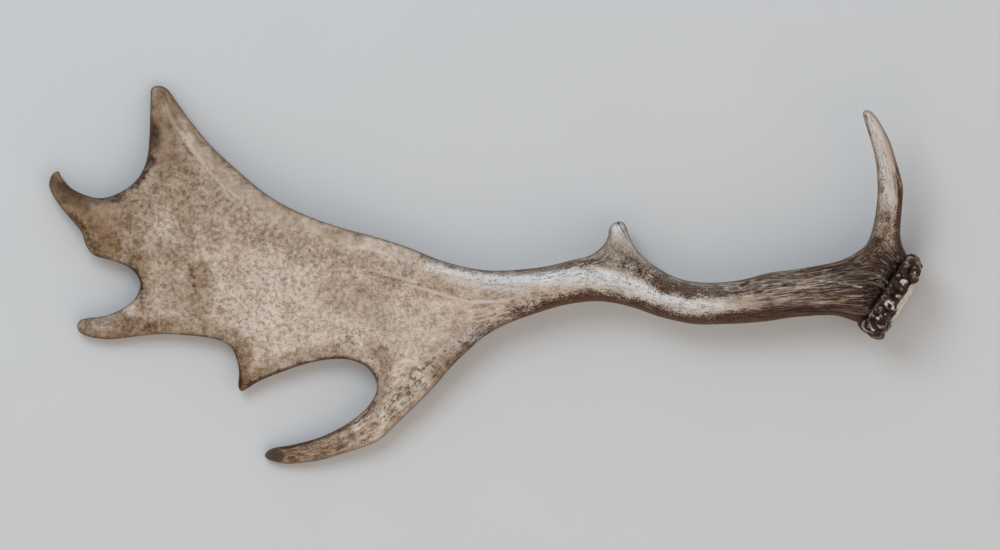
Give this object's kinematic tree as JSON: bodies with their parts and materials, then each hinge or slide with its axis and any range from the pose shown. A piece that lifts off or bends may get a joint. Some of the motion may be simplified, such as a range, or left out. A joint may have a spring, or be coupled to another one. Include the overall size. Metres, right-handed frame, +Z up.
{
  "type": "fallow deer antler",
  "caption": "Shed fallow deer antler lying flat: ridged beam with a lumpy burr, brow and trez tines, and a broad palm that ends in points.",
  "frame": {"origin": "on the surface the antler lies on, under the middle of its bounding box", "axes": "+X along the antler from the palm points to the burr, +Y towards the side of the brow tine, +Z up from the surface"},
  "size_m": [0.6567, 0.2843, 0.0699],
  "materials": {
    "beam_bone": "dry antler bone, dark brown ridges worn cream on the crests",
    "tine_bone": "dry antler bone, pale and rubbed smooth",
    "palm_bone": "dry antler bone, pale tan with fine brown mottling"
  },
  "bodies": {
    "root": {"beam": "beam_bone", "brow_tine": "tine_bone", "trez_tine": "tine_bone", "palm": "palm_bone", "front_point": "palm_bone", "upper_point": "palm_bone", "lower_point": "palm_bone", "heel_point": "palm_bone", "rear_tine": "palm_bone"}
  },
  "joints": []
}
